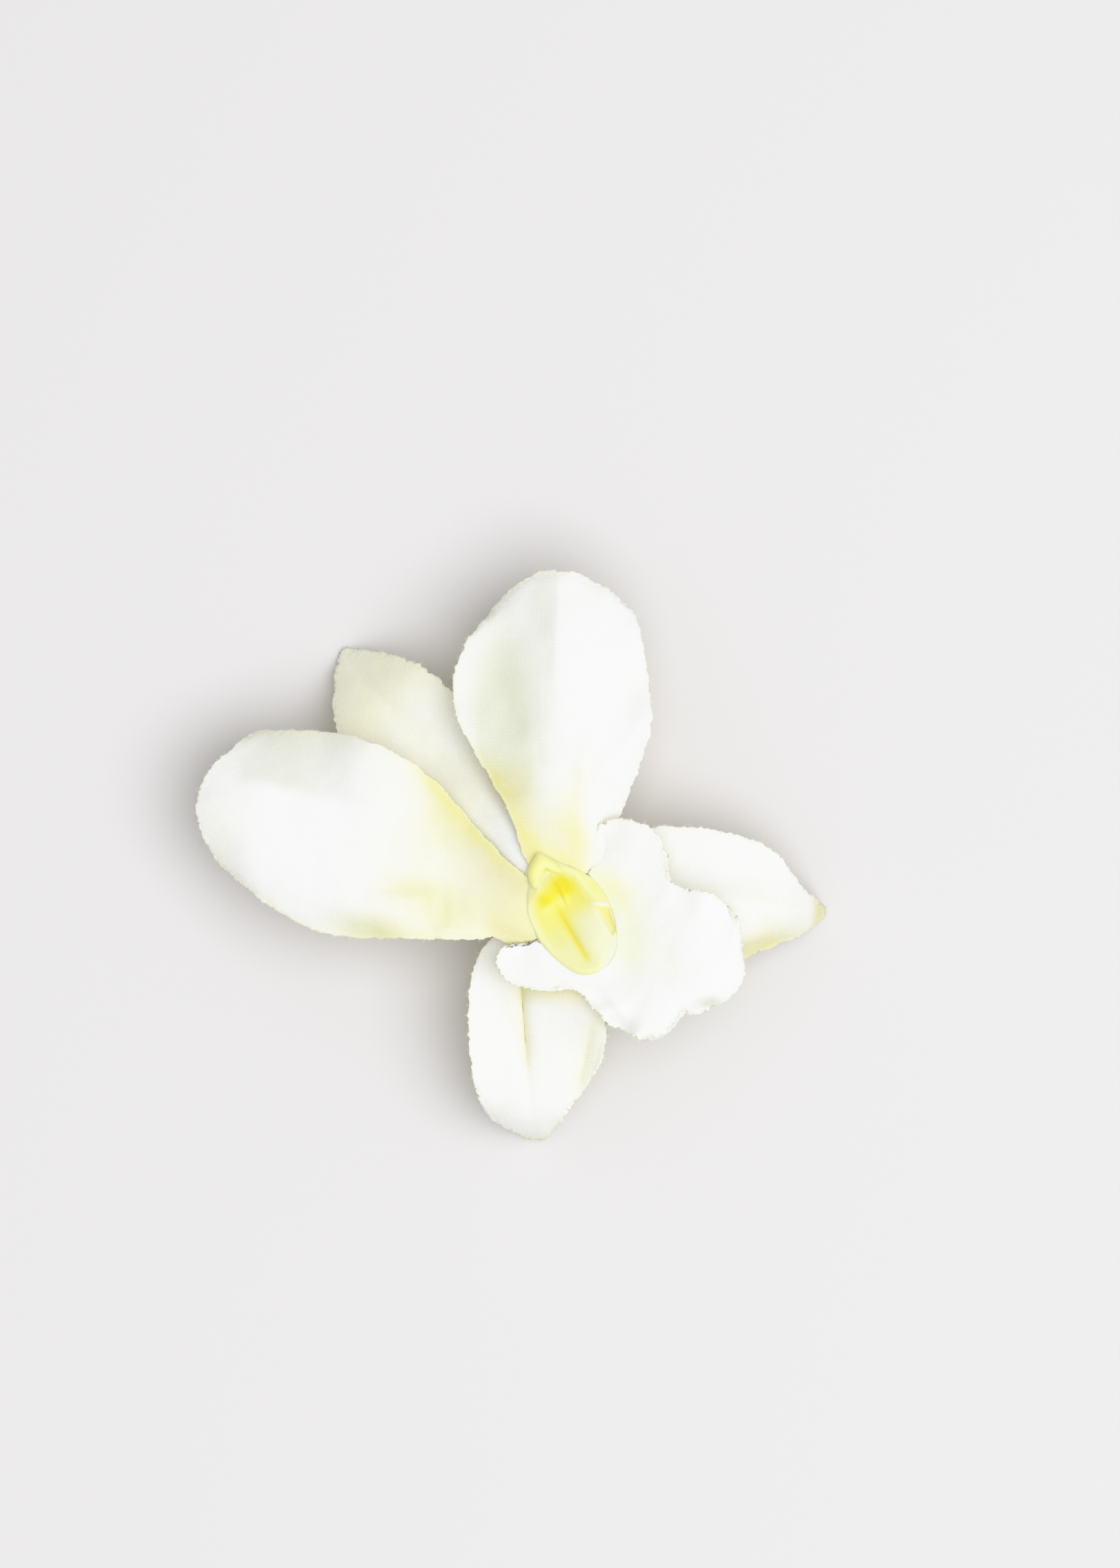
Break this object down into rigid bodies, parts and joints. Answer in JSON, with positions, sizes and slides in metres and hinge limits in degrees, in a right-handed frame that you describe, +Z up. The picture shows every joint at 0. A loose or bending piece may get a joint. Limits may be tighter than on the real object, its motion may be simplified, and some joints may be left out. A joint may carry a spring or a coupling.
{
  "type": "orchid flower",
  "caption": "White orchid flower as picked, lying face up, with broad petals, pointed sepals, a ruffled lip, a yellow column and a curved pedicel.",
  "frame": {"origin": "under the middle of the flower's bounding box, on the surface that it lies on", "axes": "+Z up, out of the flower's face; +Y towards the upper petal's tip; +X towards the right sepal's tip"},
  "size_m": [0.0804, 0.073, 0.0218],
  "materials": {
    "petal_white": "matte",
    "lip_white": "matte",
    "column_yellow": "satin",
    "anther_lime": "satin",
    "pedicel_green": "satin"
  },
  "bodies": {
    "root": {"petal_upper": "petal_white", "petal_left": "petal_white", "sepal_dorsal": "petal_white", "sepal_right": "petal_white", "sepal_lower": "petal_white", "lip": "lip_white", "column": "column_yellow", "anther_cap": "anther_lime", "pedicel": "pedicel_green"}
  },
  "joints": []
}
